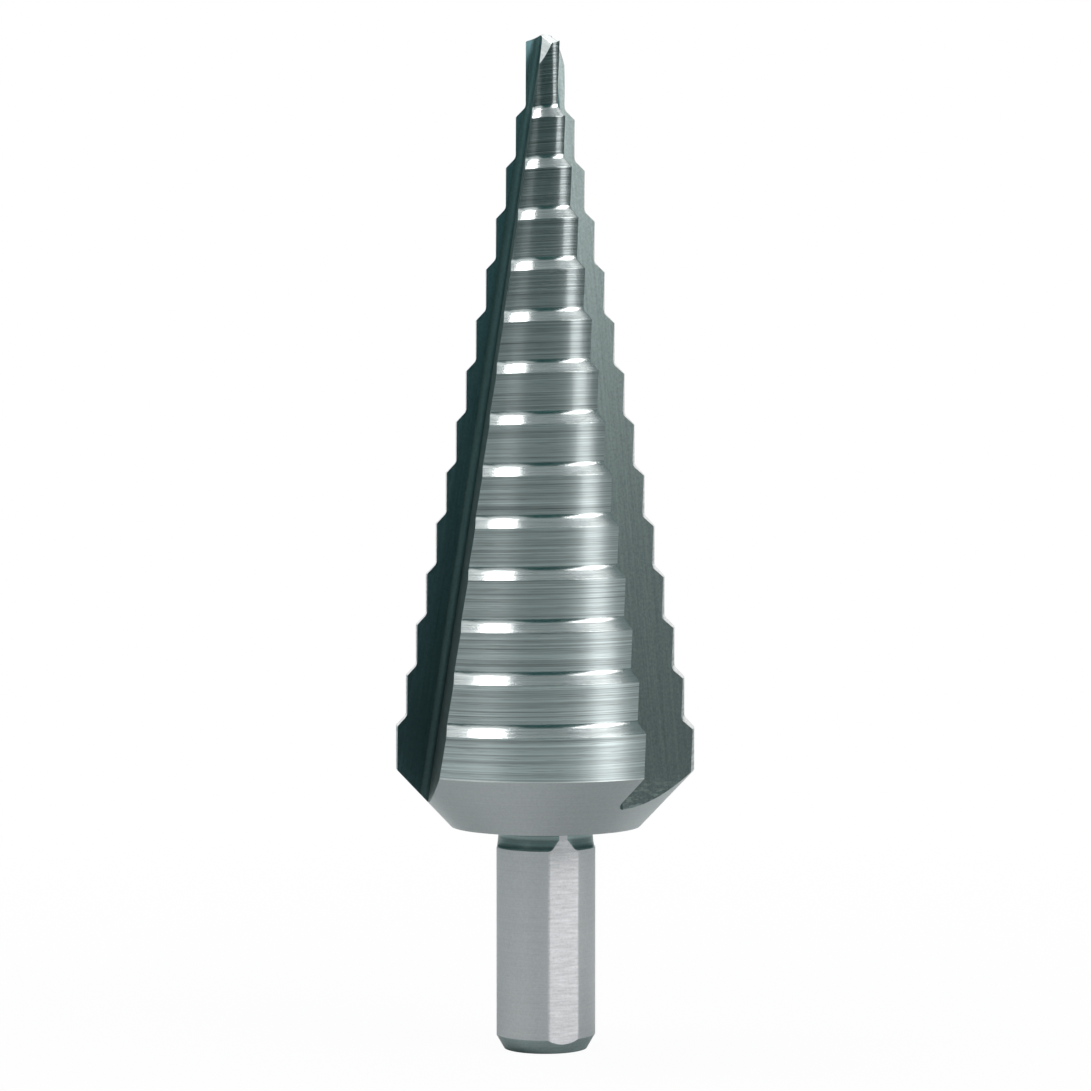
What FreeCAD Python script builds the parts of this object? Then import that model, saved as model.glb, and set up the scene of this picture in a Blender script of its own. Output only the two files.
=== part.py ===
# Step drill for sheet metal: one bar of high-speed steel, turned, relief-ground and fluted.
# Millimetres and degrees. +Z runs up the axis to the point, and the origin is the centre of
# the shank's end face. -Y is the front. The flutes are drawn about +X, and the finished body
# is turned to face the front.
import FreeCAD, Part
import os

import Sketcher
from FreeCAD import Placement, Rotation, Vector

NODE = "step_drill"

SIZES = [
    ("shankDiameter", 10.0, "round shank"),
    ("shankLength", 22.4, "end face to the underside of the head"),
    ("endChamferHeight", 1.45, "chamfer at the end face, along the axis"),
    ("endChamferDepth", 0.85, "chamfer at the end face, in radius"),
    ("flatCount", 3, "drive flats round the shank"),
    ("flatDepth", 0.27, "depth of a flat below the round"),
    ("flatTurn", 14.0, "first flat behind the first flute"),
    ("neckDiameter", 9.5, "groove where the shank meets the head"),
    ("neckLength", 1.0, "straight part of the groove"),
    ("neckFlare", 1.1, "length over which the groove widens to the shank"),
    ("undersideDiameter", 19.0, "flat underside of the head"),
    ("baseConeHeight", 5.8, "cone from the underside to the largest diameter"),
    ("pilotDiameter", 4.0, "smallest diameter"),
    ("pilotLength", 6.32, "pilot from its shoulder to the corner of the point"),
    ("stepCount", 13, "steps below the pilot"),
    ("diameterRise", 2.0, "growth in diameter from step to step"),
    ("stepPitch", 5.05, "step to step, along the axis"),
    ("shoulderHeight", 1.04, "bevelled shoulder, along the axis"),
    ("lastLandLength", 4.42, "land of the largest diameter"),
    ("cornerBevel", 0.16, "half the bevel where a land meets the shoulder below it"),
    ("radialRelief", 0.14, "fall in radius over one land and its flute"),
    ("axialRelief", 0.45, "fall along the axis over one land and its flute"),
    ("reliefLead", 11.0, "turn by which the relief starts ahead of the flute"),
    ("fluteCount", 3, "flutes and cutting edges"),
    ("fluteSlope", 8.6, "lean of a flute from the axis"),
    ("webRadius", 0.31, "axis to the root of a flute, at the point"),
    ("rootSet", 0.25, "root of a flute behind its centre line"),
    ("rootRadius", 0.7, "fillet between the flute floor and the rake face"),
    ("rakeAngle", 20.0, "hook of the rake face"),
    ("pointAngle", 130.0, "included angle of the point"),
    ("lipRelief", 19.0, "fall of the point's flank behind the lip"),
    ("lipWidth", 0.59, "flank behind the centre line, up to the gash"),
    ("gashAngle", 68.0, "fall of the gash behind the flank"),
    ("frontTurn", 54.0, "first flute from +X towards the front"),
]

LARGEST_RADIUS = "((Sizes.pilotDiameter + Sizes.stepCount * Sizes.diameterRise) / 2)"
PILOT_RADIUS = "(Sizes.pilotDiameter / 2)"
CORE_RADIUS = "(Sizes.pilotDiameter / 4)"
STEP_RISE = "(Sizes.diameterRise / 2)"
LAND_START = "(Sizes.shankLength + Sizes.baseConeHeight)"
FIRST_RIM = f"({LAND_START} + Sizes.lastLandLength)"
PILOT_START = f"({FIRST_RIM} + (Sizes.stepCount - 1) * Sizes.stepPitch + Sizes.shoulderHeight)"
POINT_CORNER = f"({PILOT_START} + Sizes.pilotLength)"
POINT_TOP = f"({POINT_CORNER} + {PILOT_RADIUS} / tan(Sizes.pointAngle / 2))"
HEAD_SEAT = "(Sizes.shankLength - Sizes.neckLength)"


def make_sheet(doc):
    sheet = doc.addObject("Spreadsheet::Sheet", "Sizes")
    for row, (name, value, note) in enumerate(SIZES, start=1):
        sheet.set(f"A{row}", name)
        sheet.set(f"B{row}", str(value))
        sheet.set(f"C{row}", note)
        sheet.setAlias(f"B{row}", name)
    doc.recompute()
    return sheet


def origin_item(body, role):
    return next(item for item in body.Origin.OriginFeatures if item.Role == role)


def add_sketch(body, name, role):
    sketch = body.newObject("Sketcher::SketchObject", name)
    sketch.AttachmentSupport = [(origin_item(body, role), "")]
    sketch.MapMode = "FlatFace"
    return sketch


def turn_sketch(sketch, axis, angle):
    sketch.AttachmentOffset = Placement(Vector(), Rotation(axis, sketch.evalExpression(angle)))
    sketch.setExpression("AttachmentOffset.Rotation.Angle", angle)


def draw_outline(sketch, corners):
    """Closed outline through corners given as pairs of expressions, each held by two sizes."""
    points = [Vector(sketch.evalExpression(across), sketch.evalExpression(along), 0)
              for across, along in corners]
    edges = [sketch.addGeometry(Part.LineSegment(point, points[(index + 1) % len(points)]), False)
             for index, point in enumerate(points)]
    for index, (across, along) in enumerate(corners):
        sketch.addConstraint(Sketcher.Constraint("Coincident", edges[index - 1], 2, edges[index], 1))
        hold_start(sketch, "DistanceX", edges[index], across, points[index].x)
        hold_start(sketch, "DistanceY", edges[index], along, points[index].y)
    return edges


def hold_start(sketch, kind, edge, size, value):
    number = sketch.addConstraint(Sketcher.Constraint(kind, -1, 1, edge, 1, value))
    sketch.setExpression(f"Constraints[{number}]", size)


def round_start(sketch, edge, size):
    """Fillet at the corner where an edge starts, with its radius tied to a size."""
    arc = sketch.GeometryCount
    radius = sketch.evalExpression(size)
    sketch.fillet(edge, 1, radius, True, True)
    number = sketch.addConstraint(Sketcher.Constraint("Radius", arc, radius))
    sketch.setExpression(f"Constraints[{number}]", size)


def add_turned(body, kind, name, sketch):
    feature = body.newObject(f"PartDesign::{kind}", name)
    feature.Profile = sketch
    feature.ReferenceAxis = (sketch, ["V_Axis"])
    feature.Angle = 360
    body.Document.recompute()


def add_pocket(body, name, sketch, length, along_normal):
    pocket = body.newObject("PartDesign::Pocket", name)
    pocket.Profile = sketch
    pocket.Type = "Length"
    pocket.setExpression("Length", length)
    pocket.Reversed = along_normal
    body.Document.recompute()
    return pocket


def repeat_round(body, name, feature, count):
    pattern = body.newObject("PartDesign::PolarPattern", name)
    pattern.Originals = [feature]
    pattern.Axis = (origin_item(body, "Z_Axis"), [""])
    pattern.Angle = 360
    pattern.setExpression("Occurrences", count)
    body.Tip = pattern
    body.Document.recompute()


def add_core(body):
    """Round core inside the head, on which the stepped teeth stand."""
    sketch = add_sketch(body, "core_outline", "XZ_Plane")
    draw_outline(sketch, [
        ("0", HEAD_SEAT),
        (CORE_RADIUS, HEAD_SEAT),
        (CORE_RADIUS, POINT_TOP),
        ("0", POINT_TOP),
    ])
    add_turned(body, "Revolution", "core", sketch)


def step_corners(count):
    """Stepped side of a tooth from the largest land up: a rim, a shoulder and a bevel each."""
    corners = []
    for index in range(count):
        radius = f"({LARGEST_RADIUS} - {index} * {STEP_RISE})"
        rim = f"({FIRST_RIM} + {index} * Sizes.stepPitch)"
        foot = f"({rim} + Sizes.shoulderHeight)"
        inset = f"Sizes.cornerBevel * {STEP_RISE} / Sizes.shoulderHeight"
        corners += [
            (radius, rim),
            (f"{radius} - {STEP_RISE} + {inset}", f"{foot} - Sizes.cornerBevel"),
            (f"{radius} - {STEP_RISE}", f"{foot} + Sizes.cornerBevel"),
        ]
    return corners


def add_teeth(body):
    """Relief-ground teeth: the stepped outline sinks inwards and down as it turns."""
    sketch = add_sketch(body, "tooth_outline", "XZ_Plane")
    turn_sketch(sketch, Vector(0, 1, 0), "Sizes.reliefLead")
    inside = f"{CORE_RADIUS} - Sizes.radialRelief / 2"
    top = f"{POINT_TOP} + Sizes.axialRelief"
    draw_outline(sketch, [
        (inside, HEAD_SEAT),
        (LARGEST_RADIUS, HEAD_SEAT),
        *step_corners(int(sketch.evalExpression("Sizes.stepCount"))),
        (PILOT_RADIUS, top),
        (inside, top),
    ])
    body.Document.recompute()
    tooth = body.newObject("PartDesign::AdditiveHelix", "tooth")
    tooth.Profile = sketch
    tooth.ReferenceAxis = (sketch, ["V_Axis"])
    tooth.Mode = "height-turns-growth"
    tooth.setExpression("Height", "Sizes.axialRelief")
    tooth.setExpression("Turns", "1 / Sizes.fluteCount")
    tooth.setExpression("Growth", "-Sizes.radialRelief * Sizes.fluteCount")
    tooth.Reversed = True
    body.Document.recompute()
    repeat_round(body, "teeth", tooth, "Sizes.fluteCount")


def add_base_cone(body):
    """Turned cone and flat underside, cut all round below the largest land."""
    sketch = add_sketch(body, "base_cone_outline", "XZ_Plane")
    underside = "(Sizes.undersideDiameter / 2)"
    flare = f"({LARGEST_RADIUS} - {underside}) / Sizes.baseConeHeight"
    outside = f"{LARGEST_RADIUS} + Sizes.lastLandLength * {flare}"
    inside = "Sizes.neckDiameter / 4"
    below = f"{HEAD_SEAT} - 2 * Sizes.axialRelief"
    draw_outline(sketch, [
        (inside, below),
        (outside, below),
        (outside, FIRST_RIM),
        (underside, "Sizes.shankLength"),
        (inside, "Sizes.shankLength"),
    ])
    add_turned(body, "Groove", "base_cone", sketch)


def add_flutes(body):
    """Straight V flutes, drawn square to their own lean, that run out through the base cone."""
    sketch = add_sketch(body, "flute_section", "XY_Plane")
    turn_sketch(sketch, Vector(0, -1, 0), "Sizes.fluteSlope")
    sketch.setExpression("AttachmentOffset.Base.z", POINT_TOP)
    body.Document.recompute()
    floor = "Sizes.webRadius * cos(Sizes.fluteSlope)"
    reach = f"({LARGEST_RADIUS} * 1.5)"
    edges = draw_outline(sketch, [
        (floor, "-Sizes.rootSet"),
        (reach, f"({reach} - {floor}) * tan(Sizes.rakeAngle) - Sizes.rootSet"),
        (reach, reach),
        (floor, reach),
    ])
    round_start(sketch, edges[0], "Sizes.rootRadius")
    body.Document.recompute()
    length = f"({POINT_TOP} - Sizes.shankLength) / cos(Sizes.fluteSlope)"
    flute = add_pocket(body, "flute", sketch, length, False)
    repeat_round(body, "flutes", flute, "Sizes.fluteCount")


def add_point(body):
    """Faces of the point, cut outwards along a lip: a narrow flank and the steep gash behind."""
    sketch = add_sketch(body, "lip_section", "YZ_Plane")
    sketch.setExpression("AttachmentOffset.Base.y", POINT_TOP)
    body.Document.recompute()
    reach = "(Sizes.pilotDiameter * 2)"
    fall = "Sizes.lipWidth * tan(Sizes.lipRelief)"
    draw_outline(sketch, [
        (reach, f"{reach} * tan(Sizes.lipRelief)"),
        (reach, f"{reach} * 2"),
        (f"-{reach}", f"{reach} * 2"),
        (f"-{reach}", f"-{fall} - ({reach} - Sizes.lipWidth) * tan(Sizes.gashAngle)"),
        ("-Sizes.lipWidth", f"-{fall}"),
    ])
    body.Document.recompute()
    lip = add_pocket(body, "lip", sketch, reach, False)
    lip.UseCustomVector = True
    lip.Direction = Vector(1, 0, 0)
    lip.setExpression("Direction.z", "-1 / tan(Sizes.pointAngle / 2)")
    lip.AlongSketchNormal = True
    body.Document.recompute()
    repeat_round(body, "lips", lip, "Sizes.fluteCount")


def add_shank(body):
    """Shank with its end chamfer and the groove under the head."""
    sketch = add_sketch(body, "shank_outline", "XZ_Plane")
    shank = "Sizes.shankDiameter / 2"
    neck = "Sizes.neckDiameter / 2"
    draw_outline(sketch, [
        ("0", "0"),
        (f"{shank} - Sizes.endChamferDepth", "0"),
        (shank, "Sizes.endChamferHeight"),
        (shank, f"{HEAD_SEAT} - Sizes.neckFlare"),
        (neck, HEAD_SEAT),
        (neck, "Sizes.shankLength"),
        ("0", "Sizes.shankLength"),
    ])
    add_turned(body, "Revolution", "shank", sketch)


def add_flats(body):
    """Flats for a three-jaw chuck, over the whole shank and through the groove."""
    sketch = add_sketch(body, "flat_section", "XY_Plane")
    turn_sketch(sketch, Vector(0, 0, -1), "Sizes.flatTurn")
    near = "Sizes.shankDiameter / 2 - Sizes.flatDepth"
    far = "Sizes.shankDiameter"
    half = "Sizes.shankDiameter / 2"
    draw_outline(sketch, [(near, f"-{half}"), (far, f"-{half}"), (far, half), (near, half)])
    body.Document.recompute()
    flat = add_pocket(body, "flat", sketch, "Sizes.shankLength", True)
    repeat_round(body, "flats", flat, "Sizes.flatCount")


STAGES = [
    (add_core, 1),
    (add_teeth, 1),
    (add_base_cone, -1),
    (add_flutes, -1),
    (add_point, -1),
    (add_shank, 1),
    (add_flats, -1),
]


def build_drill(doc):
    """Each stage has to add or remove metal as its sign says."""
    body = doc.addObject("PartDesign::Body", "StepDrill")
    body.Label = NODE
    volume = 0
    for stage, sign in STAGES:
        stage(body)
        change = body.Shape.Volume - volume
        if change * sign <= 0:
            raise RuntimeError(f"{stage.__name__} changed the volume by {change:.3f}")
        volume = body.Shape.Volume
    body.Placement = Placement(Vector(), Rotation(Vector(0, 0, -1), doc.Sizes.frontTurn))
    body.setExpression("Placement.Rotation.Angle", "Sizes.frontTurn")
    doc.recompute()
    return body


def check_drill(doc, body):
    for item in doc.Objects:
        if {"Invalid", "Error"} & set(item.State):
            raise RuntimeError(f"{item.Name} failed: {item.State}")
    if body.Shape.isNull() or not body.Shape.isValid():
        raise RuntimeError(f"{body.Label} has no valid shape")
    if len(body.Shape.Solids) != 1:
        raise RuntimeError(f"{body.Label} came out as {len(body.Shape.Solids)} solids")


def main():
    doc = FreeCAD.newDocument("StepDrill")
    make_sheet(doc)
    body = build_drill(doc)
    check_drill(doc, body)
    os.makedirs("parts", exist_ok=True)
    body.Shape.exportStep(f"parts/{NODE}.step")
    print(f"{body.Label}: {body.Shape.Volume:.1f} cubic millimetres, {len(body.Shape.Faces)} faces")


main()
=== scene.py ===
import math

import bmesh
import bpy
import numpy as np
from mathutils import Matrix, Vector


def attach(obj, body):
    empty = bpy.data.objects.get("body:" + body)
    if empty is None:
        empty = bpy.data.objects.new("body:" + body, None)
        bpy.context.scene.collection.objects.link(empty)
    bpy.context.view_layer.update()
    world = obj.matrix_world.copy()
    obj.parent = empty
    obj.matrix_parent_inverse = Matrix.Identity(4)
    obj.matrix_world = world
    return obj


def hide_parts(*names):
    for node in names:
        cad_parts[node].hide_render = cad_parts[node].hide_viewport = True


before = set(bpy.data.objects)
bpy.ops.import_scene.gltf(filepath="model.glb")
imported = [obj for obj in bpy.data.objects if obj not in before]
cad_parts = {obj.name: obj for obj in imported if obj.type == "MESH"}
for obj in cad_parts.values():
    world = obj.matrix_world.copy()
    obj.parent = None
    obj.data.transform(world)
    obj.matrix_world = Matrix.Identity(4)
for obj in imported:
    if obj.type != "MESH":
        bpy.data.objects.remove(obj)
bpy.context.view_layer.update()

mm = 0.001
bodyName = "root"

# sizes of the drill in millimetres, angles in degrees; +Z runs up the axis to the point
drill = {
    "shankRadius": 5.0,
    "shankLength": 22.4,
    "chamferHeight": 1.45,
    "chamferDepth": 0.85,
    "flatDepth": 0.27,
    "flatTurn": 14.0,          # first flat behind the first flute
    "neckRadius": 4.75,
    "neckLength": 1.0,
    "neckFlare": 1.1,
    "undersideRadius": 9.5,
    "baseConeHeight": 5.8,
    "pilotRadius": 2.0,
    "stepCount": 13,
    "stepRise": 1.0,           # growth in radius from step to step
    "stepPitch": 5.05,
    "shoulderHeight": 1.04,
    "lastLand": 4.42,
    "pilotLength": 6.32,
    "cornerRadius": 0.8,       # rounding where a land meets the shoulder below it
    "rimRadius": 0.05,         # rounding of a rim that the stone left
    "radialRelief": 0.14,      # fall in radius over one land and its flute
    "axialRelief": 0.45,       # fall along the axis over the same turn
    "reliefLead": 11.0,        # turn by which the relief starts ahead of the flute
    "teeth": 3,
    "frontTurn": 54.0,         # first flute from +X towards the front
}

flute = {
    "lean": 8.6,               # lean of a flute from the axis
    "web": 0.31,               # axis to the floor, at the point
    "rootSet": 0.25,           # root of a flute behind its centre line
    "rootRadius": 0.7,
    "rake": 20.0,              # hook of the rake face
    "floorCells": 16,
    "rootCells": 12,
}

point = {
    "pointAngle": 130.0,
    "lipRelief": 19.0,         # fall of the flank behind the lip
    "lipWidth": 0.59,          # flank behind the centre line, up to the gash
    "gashAngle": 68.0,         # fall of the gash behind the flank
    "plainShare": 0.2,         # share of the pilot below the rows that blend to the point
    "rows": 26,
}

# cells across one land, flat and flute, and along rounded corners; rows on the base cone
landCells = 56
flatCells = 12
fluteCells = 2 * flute["floorCells"] + flute["rootCells"]
cornerCells = 8
rimCells = 3
runOutRows = 22
baseRows = 8
rowGap = 0.035                 # millimetres from a corner to the row that keeps its shading tight
crowding = 0.12                # how much closer together cells lie at the ends of a run
rowRise = 1.6                  # power by which the rows lie closer together at the run-out

mergeDistance = 2e-6           # metres
sharpAngle = 28                # degrees from which an edge is drawn sharp
tiny = 1e-6                    # millimetres that count as no difference
least = 1e-9                   # keeps a division off zero

# searches for a place: halvings in each, rounds until angle and height agree, and millimetres
# of the flute's section that they cover
halvings = 44
edgeRounds = 12
heightRounds = 14
sectionReach = 40.0
rootSamples = 1201

toothTurn = 360 / drill["teeth"]
coneTop = drill["shankLength"] + drill["baseConeHeight"]
bigRadius = drill["pilotRadius"] + drill["stepCount"] * drill["stepRise"]
coneFlare = (bigRadius - drill["undersideRadius"]) / drill["baseConeHeight"]
firstRim = coneTop + drill["lastLand"]
pilotFoot = firstRim + (drill["stepCount"] - 1) * drill["stepPitch"] + drill["shoulderHeight"]
pointTop = (pilotFoot + drill["pilotLength"]
            + drill["pilotRadius"] / math.tan(math.radians(point["pointAngle"] / 2)))


def floorAt(z):
    # distance of the flute's floor from the axis: it leans away from the axis towards the shank
    return flute["web"] + math.tan(math.radians(flute["lean"])) * (pointTop - z)


# the flute's section square to its lean: floor line, root arc and rake line, joined tangent to
# each other
openAngle = math.radians(90 - flute["rake"])
tangentRun = flute["rootRadius"] / math.tan(openAngle / 2)
arcTurn = math.pi - openAngle
arcLength = flute["rootRadius"] * arcTurn


def fluteSection(q):
    # q is the length along the section from the start of the root arc: negative on the floor,
    # past the arc's length on the rake; returns depth out from the floor and offset sideways
    rake = math.radians(flute["rake"])
    turn = np.clip(q, 0, arcLength) / flute["rootRadius"]
    onRake = np.maximum(q - arcLength, 0)
    outward = flute["rootRadius"] * (1 - np.cos(turn)) + onRake * math.cos(rake)
    start = tangentRun - flute["rootSet"]
    sideways = start - flute["rootRadius"] * np.sin(turn) + onRake * math.sin(rake)
    return outward, sideways + np.maximum(-q, 0)


def flutePlace(q, z):
    # distance out and sideways of a place on the flute, cut level at a height: the lean stretches
    # the section's depth
    outward, sideways = fluteSection(q)
    return floorAt(z) + outward / math.cos(math.radians(flute["lean"])), sideways


def pointHeight(x, y):
    # top of the ground point over a place in the first flute's frame: the lowest of the flank and
    # gash faces of those teeth whose face reaches that side of the axis
    top = np.full(np.shape(x), pointTop)
    for tooth in range(drill["teeth"]):
        turn = math.radians(toothTurn * tooth)
        out = x * math.cos(turn) + y * math.sin(turn)
        side = y * math.cos(turn) - x * math.sin(turn)
        flank = np.maximum(side, -point["lipWidth"]) * math.tan(math.radians(point["lipRelief"]))
        gash = np.minimum(side + point["lipWidth"], 0) * math.tan(math.radians(point["gashAngle"]))
        face = pointTop - out / math.tan(math.radians(point["pointAngle"] / 2)) + flank + gash
        top = np.where(out > 0, np.minimum(top, face), top)
    return top


def reliefShare(theta):
    # how far round its tooth a place on the first tooth lies, from 0 where the relief starts
    return (math.radians(drill["reliefLead"]) - theta) / math.radians(toothTurn)


def rowPlace(row, theta):
    # radius and height of a row at an angle on the first tooth; near the point the height blends
    # from the row to the point's own faces
    share = reliefShare(theta)
    radius = row["radius"] - row["radiusFall"] * share
    z = row["z"] - row["zFall"] * share
    top = pointHeight(radius * np.cos(theta), radius * np.sin(theta))
    return radius, (1 - row["pointShare"]) * z + row["pointShare"] * top


def findEdge(row, side):
    # where the row's circle meets the flute's section: side 1 is the rake and side -1 the floor,
    # by halving along the section, again each time the angle moves the row's radius and height;
    # returns length along the section and angle
    lag = math.radians(toothTurn) if side < 0 else 0.0
    theta = np.zeros_like(row["radius"])
    for _ in range(edgeRounds):
        radius, z = rowPlace(row, theta - lag)
        low, high = rootOf(z), np.full_like(z, side * sectionReach)
        for _ in range(halvings):
            middle = (low + high) / 2
            far = np.hypot(*flutePlace(middle, z)) > radius
            low, high = np.where(far, low, middle), np.where(far, middle, high)
        out, sideways = flutePlace(low, z)
        theta = np.arctan2(sideways, out)
    return low, theta


def rootOf(z):
    # place along the root arc that lies nearest to the axis
    q = np.linspace(0, arcLength, rootSamples)
    out, sideways = flutePlace(q[None, :], np.asarray(z)[..., None])
    return q[np.argmin(np.hypot(out, sideways), axis=-1)]


def coneRadius(z):
    # the base cone widens evenly from the underside of the head to the largest diameter
    return drill["undersideRadius"] + coneFlare * (z - drill["shankLength"])


def findRunOut():
    # height at which the flute's root leaves the base cone, by halving
    low, high = drill["shankLength"], coneTop
    for _ in range(halvings):
        z = (low + high) / 2
        inside = np.hypot(*flutePlace(rootOf(z), z)) < coneRadius(z)
        low, high = (low, z) if inside else (z, high)
    return high


def roundCorner(start, corner, end, radius, cells):
    # arc between two straight runs of a profile: tangent points at equal run from the corner
    start, corner, end = (np.array(p, float) for p in (start, corner, end))
    into, out = corner - start, end - corner
    into, out = into / np.linalg.norm(into), out / np.linalg.norm(out)
    turn = math.acos(float(np.clip(into @ out, -1, 1)))
    run = radius * math.tan(turn / 2)
    t = np.linspace(0, 1, cells + 1)[:, None] * turn
    side = (out - into * math.cos(turn)) / math.sin(turn)
    return corner - into * run + radius * (np.sin(t) * into + (1 - np.cos(t)) * side)


def withSupports(points, gap):
    # straight runs longer than three gaps get a row one gap from each end, so that shading stays
    # on the rounding
    rows = [points[0]]
    for a, b in zip(points[:-1], points[1:]):
        length = float(np.linalg.norm(b - a))
        if length > 3 * gap:
            rows += [a + (b - a) * gap / length, b - (b - a) * gap / length]
        rows.append(b)
    return np.array(rows)


def stepProfile():
    # radius and height up the teeth from the base cone to the pilot, before any relief, with each
    # rim and inner corner rounded
    corners = [(bigRadius, coneTop)]
    for step in range(drill["stepCount"]):
        rim = firstRim + step * drill["stepPitch"]
        radius = bigRadius - step * drill["stepRise"]
        corners += [(radius, rim), (radius - drill["stepRise"], rim + drill["shoulderHeight"])]
    corners.append((drill["pilotRadius"], pilotFoot + drill["pilotLength"] * point["plainShare"]))
    rounded = [np.array([corners[0]])]
    for index in range(1, len(corners) - 1):
        inner = index % 2 == 0
        radius = drill["cornerRadius"] if inner else drill["rimRadius"]
        cells = cornerCells if inner else rimCells
        rounded.append(roundCorner(*corners[index - 1:index + 2], radius, cells))
    rounded.append(np.array([corners[-1]]))
    return withSupports(np.concatenate(rounded), rowGap)


def lengthAlong(radius, z):
    # running length of a profile, which texture rows follow
    return z[0] + np.concatenate([[0], np.cumsum(np.hypot(np.diff(radius), np.diff(z)))])


def makeRows():
    # rows from the run-out of the flutes to the point: each radius and height falls with the
    # relief share, by nothing on the turned cone and by the full relief on the teeth
    runOut = findRunOut()
    edgeFall = drill["radialRelief"] / coneFlare
    s = np.linspace(0, 1, runOutRows) ** rowRise
    cone = {
        "z": runOut + (coneTop - runOut) * s,
        "zFall": edgeFall * s,
        "radius": coneRadius(runOut + (coneTop - runOut) * s),
        "radiusFall": drill["radialRelief"] * s,
        "pointShare": 0 * s,
        "zone": np.full(len(s), zoneNumber("turnedCone")),
    }
    profile = stepProfile()
    climb = np.clip((profile[:, 1] - coneTop) / drill["lastLand"], 0, 1)
    slope = np.abs(np.diff(profile[:, 0], prepend=profile[0, 0], append=profile[-1, 0]))
    onShoulder = np.minimum(slope[:-1], slope[1:]) > tiny
    teeth = {
        "z": profile[1:, 1],
        "zFall": (edgeFall + (drill["axialRelief"] - edgeFall) * climb)[1:],
        "radius": profile[1:, 0],
        "radiusFall": np.full(len(profile) - 1, drill["radialRelief"]),
        "pointShare": np.zeros(len(profile) - 1),
        "zone": np.where(onShoulder, zoneNumber("groundShoulder"), zoneNumber("groundLand"))[1:],
    }
    t = np.linspace(0, 1, point["rows"] + 1)[1:]
    tip = {
        "z": np.full(len(t), profile[-1, 1]),
        "zFall": np.full(len(t), drill["axialRelief"]),
        "radius": np.full(len(t), drill["pilotRadius"]),
        "radiusFall": np.full(len(t), drill["radialRelief"]),
        "pointShare": t,
        "zone": np.full(len(t), zoneNumber("groundLand")),
    }
    row = {key: np.concatenate([cone[key], teeth[key], tip[key]]) for key in cone}
    row["length"] = lengthAlong(row["radius"], row["z"])
    return row


def evenEnds(cells):
    # fractions from 0 to 1, closer together at both ends
    t = np.linspace(0, 1, cells + 1)
    return t - crowding * np.sin(2 * math.pi * t)


def headGrid(row):
    # first sector of the head: flute cells from the heel edge over the floor, root and rake to
    # the cutting edge, then land cells back to the next heel; returns places and flute length q
    heelQ, heelTurn = findEdge(row, -1)
    cutQ, cutTurn = findEdge(row, 1)
    heelQ[0] = cutQ[0] = rootOf(row["z"][:1])[0]
    heelTurn[0] = cutTurn[0] = np.arctan2(*flutePlace(cutQ[:1], row["z"][:1])[::-1])[0]
    rootStart = np.clip(0, heelQ, cutQ)
    rootEnd = np.clip(arcLength, heelQ, cutQ)
    along = evenEnds(flute["floorCells"])
    aroundRoot = np.linspace(0, 1, flute["rootCells"] + 1)[1:]
    q = np.concatenate([
        heelQ[:, None] + (rootStart - heelQ)[:, None] * along,
        rootStart[:, None] + (rootEnd - rootStart)[:, None] * aroundRoot,
        rootEnd[:, None] + (cutQ - rootEnd)[:, None] * along[1:],
    ], axis=1)
    span = np.maximum(cutQ - heelQ, least)[:, None]
    part = (q - heelQ[:, None]) / span
    share = row["pointShare"][:, None]
    lag = math.radians(toothTurn)
    baseHeel = row["z"] - row["zFall"] * reliefShare(heelTurn - lag)
    baseCut = row["z"] - row["zFall"] * reliefShare(cutTurn)
    zBase = baseHeel[:, None] * (1 - part) + baseCut[:, None] * part
    z = zBase
    for _ in range(heightRounds):
        z = (1 - share) * zBase + share * pointHeight(*flutePlace(q, z))
    x, y = flutePlace(q, z)
    flutePoints = np.stack([x, y, z], axis=-1)

    cells = evenEnds(landCells)
    theta = cutTurn[:, None] + (heelTurn - lag - cutTurn)[:, None] * cells
    wide = {key: row[key][:, None] for key in row}
    radius, zLand = rowPlace(wide, theta)
    landPoints = np.stack([radius * np.cos(theta), radius * np.sin(theta), zLand], axis=-1)
    landPoints[:, 0] = flutePoints[:, -1]
    sector = np.concatenate([flutePoints, landPoints[:, 1:-1]], axis=1)
    climb = np.maximum(zLand - zLand[-point["rows"] - 1], 0) * (row["pointShare"] > 0)[:, None]
    across = row["length"][:, None] + climb
    return sector, np.stack([z, q], axis=-1), np.stack([-theta * radius, across], axis=-1)


# rows of the shank's mesh, with gaps in millimetres
shankMesh = {
    "rimInset": 0.08,          # last row on the end face, in from its rim
    "rimRound": (0.03, 0.04),  # first row past that rim, outwards and upwards
    "chamferRows": 10,
    "roundGap": 0.05,          # first row of the round above the chamfer
    "roundRows": 14,
    "flareRows": 14,
    "flareBend": 0.37,         # how soon the flare closes in on the neck: 1 is a straight cone
    "neckRows": 4,
    "undersideRows": 7,
}


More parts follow.
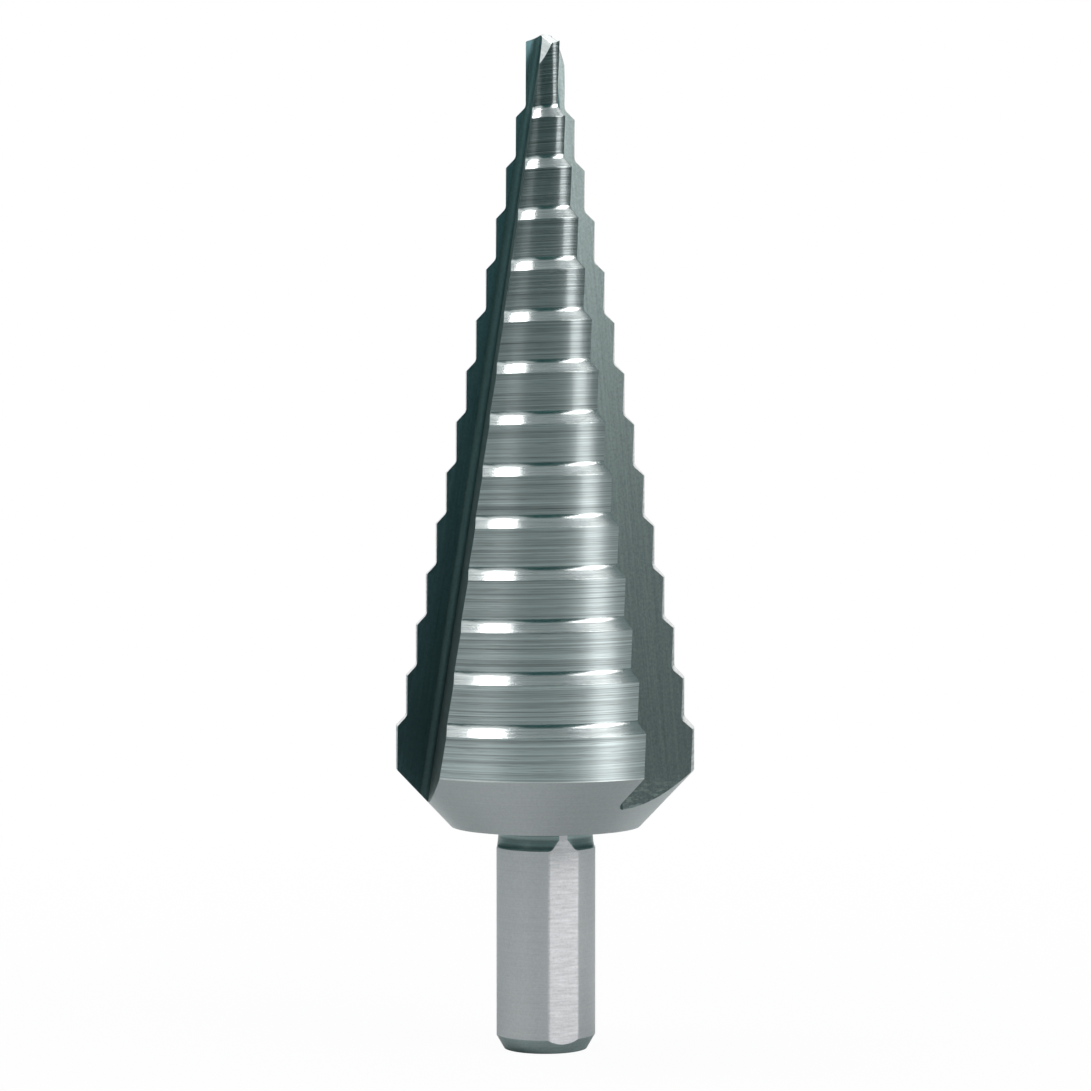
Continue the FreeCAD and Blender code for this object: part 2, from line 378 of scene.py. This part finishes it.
def shankRows():
    # profile of the shank from the axis out over the end face, up the chamfer and the round, in
    # at the neck and out under the head to the cone, with a row where the flats start; the faces
    # above a row marked as flat are on the flat
    outer, neck = drill["shankRadius"], drill["neckRadius"]
    flatAt = outer - drill["flatDepth"]
    rim = outer - drill["chamferDepth"]
    neckTop = drill["shankLength"]
    neckFoot = neckTop - drill["neckLength"]
    flareFoot = neckFoot - drill["neckFlare"]
    rimOut, rimUp = shankMesh["rimRound"]
    endRadius = np.array([0, rim * 0.5, rim - shankMesh["rimInset"], rim, rim + rimOut])
    endHeight = np.array([0, 0, 0, 0, rimUp])
    chamferRadius = flatAt + (outer - flatAt) * np.linspace(0, 1, shankMesh["chamferRows"]) ** 2
    chamferHeight = drill["chamferHeight"] * (chamferRadius - rim) / drill["chamferDepth"]
    roundFoot = drill["chamferHeight"] + shankMesh["roundGap"]
    roundHeight = np.linspace(roundFoot, flareFoot, shankMesh["roundRows"])
    t = np.linspace(0, 1, shankMesh["flareRows"] + 1)[1:] ** 2
    flareRadius = outer - (outer - neck) * t ** shankMesh["flareBend"]
    neckHeight = np.linspace(neckFoot, neckTop, shankMesh["neckRows"] + 1)[1:]
    underside = np.linspace(neck, drill["undersideRadius"], shankMesh["undersideRows"] + 1)[1:]
    parts = [
        (endRadius, endHeight, "turnedEnd"),
        (chamferRadius, chamferHeight, "turnedEnd"),
        (np.full(len(roundHeight), outer), roundHeight, "shankRound"),
        (flareRadius, flareFoot + drill["neckFlare"] * t, "turnedNeck"),
        (np.full(len(neckHeight), neck), neckHeight, "turnedNeck"),
        (underside, np.full(len(underside), neckTop), "turnedNeck"),
    ]
    z = np.concatenate([height for _, height, _ in parts])
    zones = [np.full(len(radius), zoneNumber(zone)) for radius, _, zone in parts]
    return {
        "radius": np.concatenate([radius for radius, _, _ in parts]),
        "z": z,
        "zone": np.concatenate(zones),
        "flat": (z >= chamferHeight[0]) & (z < neckTop),
    }


def shankGrid(row):
    # first sector of the shank: flat cells, then round cells back to the next flat; the flat is
    # as wide as the round reaches past it
    flatAt = drill["shankRadius"] - drill["flatDepth"]
    radius, z = row["radius"], row["z"]
    onShank = (z < drill["shankLength"] - tiny) | (radius < drill["neckRadius"] + tiny)
    half = np.where(onShank, np.arccos(np.clip(flatAt / np.maximum(radius, least), -1, 1)), 0)
    centre = -math.radians(drill["flatTurn"])
    flatTheta = centre + half[:, None] * np.linspace(1, -1, flatCells + 1)
    start, end = centre - half, centre + half - math.radians(toothTurn)
    along = np.linspace(0, 1, landCells - flatCells + 1)[1:]
    roundTheta = start[:, None] + (end - start)[:, None] * along
    theta = np.concatenate([flatTheta, roundTheta], axis=1)
    inFlat = np.arange(theta.shape[1]) <= flatCells
    cut = flatAt / np.cos(theta - centre)
    whole = radius[:, None]
    reach = np.where(inFlat & (half[:, None] > 0), np.minimum(cut, whole), whole)
    return gatherFlute(ringPlaces(reach, theta, z)), landLengths(theta, radius, z)


def coneRows():
    # plain rows of the base cone, from its lower edge to the run-out of the flutes
    runOut = findRunOut()
    z = np.linspace(drill["shankLength"], runOut, baseRows)
    start = np.arctan2(*flutePlace(rootOf(runOut), runOut)[::-1])
    turns = start - np.linspace(0, 1, landCells + 1) * math.radians(toothTurn)
    theta = np.broadcast_to(turns, (baseRows, landCells + 1))
    radius = coneRadius(z)
    return gatherFlute(ringPlaces(radius[:, None], theta, z)), landLengths(theta, radius, z)


def ringPlaces(radius, theta, z):
    # places at a radius and an angle round the axis, with one height for each row
    return np.stack([radius * np.cos(theta), radius * np.sin(theta),
                     np.broadcast_to(z[:, None], theta.shape)], axis=-1)


def gatherFlute(places):
    # below the run-out the cells of a flute have no width: all lie on the first place of the row
    return np.concatenate([np.repeat(places[:, :1], fluteCells, axis=1), places[:, :-1]], axis=1)


def landLengths(theta, radius, z):
    # texture lengths round the axis and up the profile
    across = np.broadcast_to(lengthAlong(radius, z)[:, None], theta.shape)
    return np.stack([-theta * radius[:, None], across], axis=-1)


def turned(places, degrees):
    # places turned about the axis
    c, s = math.cos(math.radians(degrees)), math.sin(math.radians(degrees))
    spin = np.array([[c, -s, 0], [s, c, 0], [0, 0, 1]])
    return places @ spin.T


def capPatch(topRow):
    # face of one tooth's point as a patch between four sides: rake, land, floor of the next flute
    # and the way over the axis, each point a blend of the sides less the blend of the corners
    half = flute["floorCells"] + flute["rootCells"] // 2
    nextRow = turned(topRow, -toothTurn)
    rake = topRow[half:fluteCells + 1]
    land = np.concatenate([topRow[fluteCells:], nextRow[:1]])
    floor = nextRow[half::-1]
    t = np.linspace(0, 1, landCells // 2 + 1)[:, None]
    axis = np.array([[0, 0, pointTop]])
    over = np.concatenate([rake[:1] * (1 - t) + axis * t, (axis * (1 - t) + floor[:1] * t)[1:]])
    u = np.linspace(0, 1, len(over))[None, :, None]
    v = np.linspace(0, 1, len(rake))[:, None, None]
    sides = (1 - v) * over[None] + v * land[None] + (1 - u) * rake[:, None] + u * floor[:, None]
    corners = ((1 - v) * (1 - u) * over[0] + (1 - v) * u * over[-1]
               + v * (1 - u) * land[0] + v * u * land[-1])
    patch = sides - corners
    patch[:-1, 1:-1, 2] = pointHeight(patch[:-1, 1:-1, 0], patch[:-1, 1:-1, 1])
    return patch


def gridFaces(rows, columns, offset=0, wrap=False):
    # four corners of each cell, ordered so that the outside is seen anticlockwise
    i = np.arange(rows - 1)[:, None]
    j = np.arange(columns if wrap else columns - 1)[None, :]
    right = (j + 1) % columns
    low, high = i * columns, (i + 1) * columns
    cells = np.stack([low + j, high + j, high + right, low + right], axis=-1)
    return cells.reshape(-1, 4) + offset


def cellLengths(left, right):
    # texture lengths of the four corners of each cell, in the order of gridFaces
    return np.stack([left[:-1], left[1:], right[1:], right[:-1]], axis=2).reshape(-1, 2)


def ringZones(shankRow, coneCount, row, columns):
    # finish of each cell between two rows: that of its upper row, apart from flutes and flats
    cone = np.full(coneCount, zoneNumber("turnedCone"))
    zoneOfRow = np.concatenate([shankRow["zone"], cone, row["zone"]])
    zone = np.repeat(zoneOfRow[1:, None], columns, axis=1)
    cell = np.arange(columns) % (fluteCells + landCells)
    floorEnd = flute["floorCells"]
    rootEnd = floorEnd + flute["rootCells"]
    fluteZone = np.select([cell < floorEnd, cell < rootEnd],
                          [zoneNumber("fluteFloor"), zoneNumber("fluteRoot")],
                          zoneNumber("fluteRake"))
    shankCount = len(shankRow["zone"])
    headZone = zone[shankCount + coneCount:]
    headZone[:] = np.where(cell < fluteCells, fluteZone, headZone)
    onFlat = (cell >= fluteCells) & (cell < fluteCells + flatCells)
    zone[:shankCount][shankRow["flat"][:, None] & onFlat] = zoneNumber("shankFlat")
    return zone


def drillGrid():
    # places, faces, finishes and texture lengths of the whole drill: one sector of flute and land
    # repeated round the axis, and a patch over the point of each tooth
    row, shankRow = makeRows(), shankRows()
    head, headFlute, headLand = headGrid(row)
    shank, shankLand = shankGrid(shankRow)
    cone, coneLand = coneRows()
    sector = np.concatenate([shank, cone, head])
    land = np.concatenate([shankLand, coneLand, headLand])
    plain = np.zeros((len(shank) + len(cone), fluteCells + 1, 2))
    fluteLengths = np.concatenate([plain, headFlute])
    left = np.concatenate([fluteLengths[:, :-1], land[:, :-1]], axis=1)
    right = np.concatenate([fluteLengths[:, 1:], land[:, 1:]], axis=1)
    teeth = drill["teeth"]
    ring = np.concatenate([turned(sector, -toothTurn * tooth) for tooth in range(teeth)], axis=1)
    rows, columns = ring.shape[:2]
    places = [ring.reshape(-1, 3)]
    faces = [gridFaces(rows, columns, wrap=True)]
    zones = [ringZones(shankRow, len(cone), row, columns).ravel()]
    lengths = [cellLengths(np.tile(left, (1, teeth, 1)), np.tile(right, (1, teeth, 1)))]
    cap = capPatch(head[-1])
    count = rows * columns
    for tooth in range(teeth):
        places.append(turned(cap, -toothTurn * tooth).reshape(-1, 3))
        faces.append(gridFaces(*cap.shape[:2], offset=count))
        zones.append(np.full((cap.shape[0] - 1) * (cap.shape[1] - 1), zoneNumber("pointGround")))
        lengths.append(cellLengths(cap[:, :-1, :2], cap[:, 1:, :2]))
        count += cap.shape[0] * cap.shape[1]
    places = turned(np.concatenate(places), -drill["frontTurn"]) * mm
    return places, np.concatenate(faces), np.concatenate(zones), np.concatenate(lengths)


def makeDrill():
    # the grid as one closed mesh, with the cells that have no width merged away
    places, faces, zones, lengths = drillGrid()
    mesh = bpy.data.meshes.new("groundDrill")
    mesh.from_pydata(places, [], faces.tolist())
    mesh.polygons.foreach_set("material_index", zones.astype(np.int32))
    layer = mesh.uv_layers.new(name="grind")
    layer.data.foreach_set("uv", lengths.astype(np.float32).ravel())
    work = bmesh.new()
    work.from_mesh(mesh)
    bmesh.ops.remove_doubles(work, verts=work.verts, dist=mergeDistance)
    bmesh.ops.recalc_face_normals(work, faces=work.faces)
    openEdges = [edge for edge in work.edges if len(edge.link_faces) != 2]
    volume = work.calc_volume() / mm ** 3
    print("open edges", len(openEdges), "faces", len(work.faces), "volume", volume)
    work.to_mesh(mesh)
    work.free()
    mesh.polygons.foreach_set("use_smooth", np.ones(len(mesh.polygons), bool))
    mesh.set_sharp_from_angle(angle=math.radians(sharpAngle))
    piece = bpy.data.objects.new("groundDrill", mesh)
    bpy.context.scene.collection.objects.link(piece)
    return piece


# finishes of the steel, one for each zone of the mesh: lines give how many streaks lie in a
# millimetre along and across the grinding, depth is their height in millimetres, shade how far
# they vary the colour, nicks how dark short scratches are, stretch how far the gloss spreads
# across the lines, and grain is a fine mottle; the roughness and a painted shade, which darkens or
# lightens the colour with height where the reflections change, run from the shank to the point;
# edge is the height and the gain of a painted highlight, a bright line above the base cone, and
# marks how light the blotches are where the flutes run out
finishes = {
    "turnedCone": {"colour": (0.47, 0.485, 0.493), "rough": (0.36, 0.36),
                   "paintedHeightShade": (1.0, 1.0), "stretch": 0.3, "lines": (0.05, 5.0),
                   "depth": 0.001, "shade": 0.05, "nicks": 0.0, "grain": 0.06},
    # painted shade: the lands are painted lighter low down, where they reflect the floor, and
    # darker towards the point; edge paints a highlight line above the base cone
    "groundLand": {"colour": (0.548, 0.59, 0.592), "rough": (0.42, 0.21),
                   "paintedHeightShade": (1.06, 0.62), "stretch": 0.9, "lines": (0.03, 6.0),
                   "depth": 0.01, "shade": 0.6, "nicks": 0.3, "grain": 0.0,
                   "edge": (0.15, 0.7)},
    "groundShoulder": {"colour": (0.64, 0.66, 0.66), "rough": (0.25, 0.25),
                       "paintedHeightShade": (1.0, 1.0), "stretch": 0.7, "lines": (0.06, 7.0),
                       "depth": 0.008, "shade": 0.25, "nicks": 0.2, "grain": 0.05},
    "shankRound": {"colour": (0.72, 0.705, 0.72), "rough": (0.46, 0.46),
                   "paintedHeightShade": (1.0, 1.0), "stretch": 0.2, "lines": (0.04, 6.0),
                   "depth": 0.001, "shade": 0.04, "nicks": 0.05, "grain": 0.05},
    # painted reflection: the flute's floor is painted darker low down and lighter towards the
    # point, where it reflects more of the light above
    "fluteFloor": {"colour": (0.43, 0.49, 0.48), "rough": (0.36, 0.36),
                   "paintedHeightShade": (0.58, 1.04), "stretch": 0.5, "lines": (0.05, 4.0),
                   "depth": 0.005, "shade": 0.16, "nicks": 0.1, "grain": 0.14,
                   "marks": 0.9},
    "shankFlat": {"colour": (0.76, 0.73, 0.75), "rough": (0.46, 0.42),
                  "paintedHeightShade": (1.0, 1.0), "stretch": 0.75, "lines": (0.42, 3.8),
                  "depth": 0.009, "shade": 0.2, "nicks": 0.12, "grain": 0.05},
    "pointGround": {"colour": (0.70, 0.72, 0.72), "rough": (0.27, 0.27),
                    "paintedHeightShade": (1.0, 1.0), "stretch": 0.3, "lines": (0.2, 6.0),
                    "depth": 0.003, "shade": 0.2, "nicks": 0.0, "grain": 0.05},
    # painted reflection: the rake's dark teal colour stands in for the dark surroundings that it
    # reflects, and it is painted lighter towards the point
    "fluteRake": {"colour": (0.20, 0.35, 0.38), "rough": (0.46, 0.34),
                  "paintedHeightShade": (0.5, 1.3), "stretch": 0.6, "lines": (0.03, 3.0),
                  "depth": 0.002, "shade": 0.15, "nicks": 0.1, "grain": 0.1},
    "turnedNeck": {"colour": (0.29, 0.36, 0.36), "rough": (0.30, 0.30),
                   "paintedHeightShade": (1.0, 1.0), "stretch": 0.3, "lines": (0.03, 2.5),
                   "depth": 0.004, "shade": 0.5, "nicks": 0.0, "grain": 0.05},
    # painted reflection: the end's dark teal colour stands in for the shaded floor under the foot
    # that it reflects
    "turnedEnd": {"colour": (0.33, 0.39, 0.39), "rough": (0.34, 0.34),
                  "paintedHeightShade": (1.0, 1.0), "stretch": 0.3, "lines": (0.04, 4.0),
                  "depth": 0.002, "shade": 0.15, "nicks": 0.0, "grain": 0.1},
    # painted shade: the root's dark teal colour, darker low down, stands in for the dark
    # reflections in the hollow of the flute
    "fluteRoot": {"colour": (0.24, 0.365, 0.375), "rough": (0.50, 0.40),
                  "paintedHeightShade": (0.42, 1.0), "stretch": 0.4, "lines": (0.03, 3.0),
                  "depth": 0.002, "shade": 0.15, "nicks": 0.1, "grain": 0.1},
}

# what the finishes share: broad streaks and nicks as shares of a finish's own lines, scales in
# waves to a metre, and the range of each noise that shows
grinding = {
    "broadLines": (0.7, 0.25),
    "broadShare": 0.25,
    "nickLines": (9, 1.6),
    "nickRange": (0.56, 0.68),
    "shadeRange": (0.3, 0.7),
    "grainScale": (4200, 4200, 4200),
    "markScale": (900, 900, 3500),
    "markRange": (0.5, 0.6),
    "markReach": 3.2,          # millimetres from the top of the base cone down to the full marks
    "noiseRoughness": 0.6,
}


def zoneNumber(name):
    # place of a finish in the list, which is the material slot of its faces
    return list(finishes).index(name)


def groundSteel(name, look):
    # bare steel whose gloss stretches across the grinding; the lines follow the mesh's own lengths
    made = bpy.data.materials.new(name)
    made.use_nodes = True
    nodes, links = made.node_tree.nodes, made.node_tree.links
    shader = nodes["Principled BSDF"]
    shader.inputs["Metallic"].default_value = 1.0
    shader.inputs["Anisotropic"].default_value = look["stretch"]
    shader.inputs["Anisotropic Rotation"].default_value = 0.25  # a quarter turn from the lines
    place = nodes.new("ShaderNodeUVMap")
    place.uv_map = "grind"
    spot = nodes.new("ShaderNodeTexCoord")
    tangent = nodes.new("ShaderNodeTangent")
    tangent.direction_type = "UV_MAP"
    tangent.uv_map = "grind"
    links.new(tangent.outputs["Tangent"], shader.inputs["Tangent"])

    def addStreaks(share, detail):
        # noise drawn out along the grinding, finer or coarser by these shares of the lines
        scale = [number * part for number, part in zip(look["lines"], share)]
        return addNoise(nodes, links, place.outputs["UV"], (*scale, 1), detail)

    fine = addStreaks((1, 1), 4)
    broad = addStreaks(grinding["broadLines"], 2)
    streaks = addMix(nodes, links, grinding["broadShare"], fine, broad)
    short = addStreaks(grinding["nickLines"], 2)
    nicks = addRange(nodes, links, short, grinding["nickRange"], (1, 1 - look["nicks"]))
    grain = addNoise(nodes, links, spot.outputs["Object"], grinding["grainScale"], 2)
    bump = nodes.new("ShaderNodeBump")
    bump.inputs["Distance"].default_value = look["depth"] * mm
    links.new(addProduct(nodes, links, streaks, nicks), bump.inputs["Height"])
    links.new(bump.outputs["Normal"], shader.inputs["Normal"])

    height = nodes.new("ShaderNodeSeparateXYZ")
    links.new(spot.outputs["Object"], height.inputs["Vector"])

    def addRise(foot, top, wanted):
        # a value that runs from one number to another between two heights in millimetres
        return addRange(nodes, links, height.outputs["Z"], (foot * mm, top * mm), wanted)

    links.new(addRise(firstRim, pilotFoot, look["rough"]), shader.inputs["Roughness"])
    # painted shade by height: the colour is scaled from the first rim to the foot of the pilot
    paintedHeightShade = addRise(firstRim, pilotFoot, look["paintedHeightShade"])
    seen = grinding["shadeRange"]
    line = addRange(nodes, links, streaks, seen, (1 - look["shade"], 1 + look["shade"]))
    mottle = addRange(nodes, links, grain, seen, (1 - look["grain"], 1 + look["grain"]))
    level = addProduct(nodes, links, paintedHeightShade, line)
    level = addProduct(nodes, links, level, addProduct(nodes, links, mottle, nicks))
    # painted highlight: a bright line just above the base cone
    if "edge" in look:
        wide, paintedHighlightGain = look["edge"]
        level = addProduct(nodes, links, level, addRise(coneTop, coneTop + wide, (1 + paintedHighlightGain, 1)))
    if "marks" in look:
        patch = addNoise(nodes, links, spot.outputs["Object"], grinding["markScale"], 3)
        patch = addRange(nodes, links, patch, grinding["markRange"], (0, look["marks"]))
        low = addRise(coneTop - grinding["markReach"], coneTop, (1, 0))
        lighter = addRange(nodes, links, addProduct(nodes, links, patch, low), (0, 1), (1, 2))
        level = addProduct(nodes, links, level, lighter)
    colour = nodes.new("ShaderNodeVectorMath")
    colour.operation = "SCALE"
    colour.inputs[0].default_value = look["colour"]
    links.new(level, colour.inputs["Scale"])
    links.new(colour.outputs["Vector"], shader.inputs["Base Color"])
    return made


def addNoise(nodes, links, place, scale, detail):
    sized = nodes.new("ShaderNodeMapping")
    sized.inputs["Scale"].default_value = scale
    links.new(place, sized.inputs["Vector"])
    noise = nodes.new("ShaderNodeTexNoise")
    noise.inputs["Scale"].default_value = 1.0
    noise.inputs["Detail"].default_value = detail
    noise.inputs["Roughness"].default_value = grinding["noiseRoughness"]
    links.new(sized.outputs["Vector"], noise.inputs["Vector"])
    return noise.outputs["Fac"]


def addMix(nodes, links, share, first, second):
    mix = nodes.new("ShaderNodeMix")
    mix.inputs["Factor"].default_value = share
    links.new(first, mix.inputs["A"])
    links.new(second, mix.inputs["B"])
    return mix.outputs["Result"]


def addRange(nodes, links, value, given, wanted):
    # a value that runs over the wanted range while another runs over the given one
    span = nodes.new("ShaderNodeMapRange")
    for socket, number in zip(("From Min", "From Max", "To Min", "To Max"), (*given, *wanted)):
        span.inputs[socket].default_value = number
    links.new(value, span.inputs["Value"])
    return span.outputs["Result"]


def addProduct(nodes, links, first, second):
    product = nodes.new("ShaderNodeMath")
    product.operation = "MULTIPLY"
    links.new(first, product.inputs[0])
    links.new(second, product.inputs[1])
    return product.outputs["Value"]


piece = makeDrill()
for name, look in finishes.items():
    piece.data.materials.append(groundSteel(name, look))
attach(piece, bodyName)
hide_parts("step_drill")
print("drill made:", len(piece.data.polygons), "faces")

camera = {
    "away": 395.0,             # millimetres from the aim on the axis to the lens
    "aim": 50.5,
    "rise": 2.29,              # degrees by which it looks down
    "focal": 3946,             # pixels of an image that is as wide as the next value
    "imageWidth": 1091,
    "sensor": 36,
    "nearest": 0.01,           # metres from which it sees
}

# lamps lie round the middle of the drill: degrees to the right of the front and up, metres away,
# width and height in metres, and how bright the face is against white
lamps = {
    "rightBox": {"turn": 55, "rise": 42, "away": 0.8, "size": (0.37, 0.64), "level": 4.2},
    "rightStrip": {"turn": 50, "rise": 6, "away": 0.8, "size": (0.24, 0.3), "level": 1.15},
    "rightTop": {"turn": 112, "rise": 62, "away": 0.9, "size": (0.4, 0.16), "level": 0.7},
    "rightVeil": {"turn": 105, "rise": 38, "away": 0.9, "size": (1.1, 0.8), "level": 0.15},
    "leftTop": {"turn": -107, "rise": 64.5, "away": 0.9, "size": (0.415, 0.205), "level": 8.0},
    "leftBox": {"turn": -56, "rise": 40, "away": 0.9, "size": (0.6, 0.58), "level": 0.7},
    "leftStrip": {"turn": -48, "rise": 6, "away": 0.9, "size": (0.3, 0.3), "level": 0.15},
    "leftVeil": {"turn": -106, "rise": 40, "away": 0.9, "size": (0.55, 0.5), "level": 0.9},
    "ceiling": {"turn": 0, "rise": 89.9, "away": 1.0, "size": (1.0, 1.0), "level": 0.33},
    "backTop": {"turn": 180, "rise": 61, "away": 0.9, "size": (0.35, 0.3), "level": 1.3},
}

stage = {
    "floorReach": 3.0,
    "wallBack": 0.9,
    "wallSize": (0.8, 1.2),
    "paper": 0.8,
    "paperRough": 0.9,
    "nearGlow": 0.96,          # share of plain white in the floor by the foot
    "farGlow": 0.2,            # metres from the foot to where the floor is white alone
    "dim": (0.012, 0.070, 0.067),
}


def addCamera():
    # in front of the drill, on a line that climbs from its aim on the axis
    data = bpy.data.cameras.new("camera")
    data.sensor_width = camera["sensor"]
    data.lens = camera["focal"] / camera["imageWidth"] * camera["sensor"]
    data.clip_start = camera["nearest"]
    lens = bpy.data.objects.new("camera", data)
    rise = math.radians(camera["rise"])
    high = camera["aim"] + camera["away"] * math.sin(rise)
    lens.location = (0, -camera["away"] * math.cos(rise) * mm, high * mm)
    lens.rotation_euler = (math.radians(90) - rise, 0, 0)
    bpy.context.scene.collection.objects.link(lens)
    bpy.context.scene.camera = lens


def addLamps():
    # rectangles that face the middle of the drill; the power is level times pi times area
    middle = Vector((0, 0, camera["aim"] * mm))
    for name, lamp in lamps.items():
        turn, rise = math.radians(lamp["turn"]), math.radians(lamp["rise"])
        flat = math.cos(rise)
        toward = Vector((math.sin(turn) * flat, -math.cos(turn) * flat, math.sin(rise)))
        data = bpy.data.lights.new(name, "AREA")
        data.shape = "RECTANGLE"
        data.size, data.size_y = lamp["size"]
        data.energy = lamp["level"] * math.pi * data.size * data.size_y
        box = bpy.data.objects.new(name, data)
        box.location = middle + toward * lamp["away"]
        box.rotation_euler = (-toward).to_track_quat("-Z", "Y").to_euler()
        bpy.context.scene.collection.objects.link(box)


def addSheet(name, corners, material):
    # one flat sheet of paper round the drill
    mesh = bpy.data.meshes.new(name)
    mesh.from_pydata(corners, [], [(0, 1, 2, 3)])
    mesh.materials.append(material)
    sheet = bpy.data.objects.new(name, mesh)
    bpy.context.scene.collection.objects.link(sheet)


def whitePaper(name, seenWhite, nearGlow):
    # matt paper that the named kinds of ray see as plain white, apart from a share of its own
    # shade close to the foot of the drill
    made = bpy.data.materials.new(name)
    made.use_nodes = True
    nodes, links = made.node_tree.nodes, made.node_tree.links
    paper = nodes["Principled BSDF"]
    paper.inputs["Base Color"].default_value = (stage["paper"],) * 3 + (1,)
    paper.inputs["Roughness"].default_value = stage["paperRough"]
    paper.inputs["Specular IOR Level"].default_value = 0.0
    glow = nodes.new("ShaderNodeEmission")
    spot = nodes.new("ShaderNodeTexCoord")
    away = nodes.new("ShaderNodeVectorMath")
    away.operation = "LENGTH"
    links.new(spot.outputs["Object"], away.inputs[0])
    share = addRange(nodes, links, away.outputs["Value"], (0.0, stage["farGlow"]), (nearGlow, 1.0))
    mix = nodes.new("ShaderNodeMixShader")
    links.new(addProduct(nodes, links, anyRay(nodes, links, seenWhite), share), mix.inputs["Fac"])
    links.new(paper.outputs["BSDF"], mix.inputs[1])
    links.new(glow.outputs["Emission"], mix.inputs[2])
    links.new(mix.outputs["Shader"], nodes["Material Output"].inputs["Surface"])
    return made


def anyRay(nodes, links, kinds):
    # 1 for a ray of one of these kinds and 0 for the others
    path = nodes.new("ShaderNodeLightPath")
    found = path.outputs[kinds[0]]
    for kind in kinds[1:]:
        either = nodes.new("ShaderNodeMath")
        either.operation = "MAXIMUM"
        links.new(found, either.inputs[0])
        links.new(path.outputs[kind], either.inputs[1])
        found = either.outputs["Value"]
    return found


def addStage():
    # a floor under the drill and a wall behind it
    reach, back = stage["floorReach"], stage["wallBack"]
    half, high = stage["wallSize"][0] / 2, stage["wallSize"][1]
    floor = whitePaper("floorPaper", ["Is Camera Ray"], stage["nearGlow"])
    wall = whitePaper("wallPaper", ["Is Camera Ray", "Is Glossy Ray", "Is Transmission Ray"], 1.0)
    addSheet("floor", [(-reach, -reach, 0), (reach, -reach, 0),
                       (reach, reach, 0), (-reach, reach, 0)], floor)
    addSheet("wall", [(-half, back, 0), (half, back, 0),
                      (half, back, high), (-half, back, high)], wall)


def addWorld():
    # dim light from all round, which the camera sees as plain white
    world = bpy.data.worlds.new("studio")
    bpy.context.scene.world = world
    world.use_nodes = True
    nodes, links = world.node_tree.nodes, world.node_tree.links
    dim = nodes["Background"]
    dim.inputs["Color"].default_value = (*stage["dim"], 1)
    white = nodes.new("ShaderNodeBackground")
    white.inputs["Color"].default_value = (1, 1, 1, 1)
    mix = nodes.new("ShaderNodeMixShader")
    links.new(dim.outputs["Background"], mix.inputs[1])
    links.new(white.outputs["Background"], mix.inputs[2])
    links.new(anyRay(nodes, links, ["Is Camera Ray", "Is Transmission Ray"]), mix.inputs["Fac"])
    links.new(mix.outputs["Shader"], nodes["World Output"].inputs["Surface"])


addCamera()
addStage()
addLamps()
addWorld()
bpy.context.scene.view_settings.view_transform = "Standard"
print("studio made:", len(lamps), "lamps")
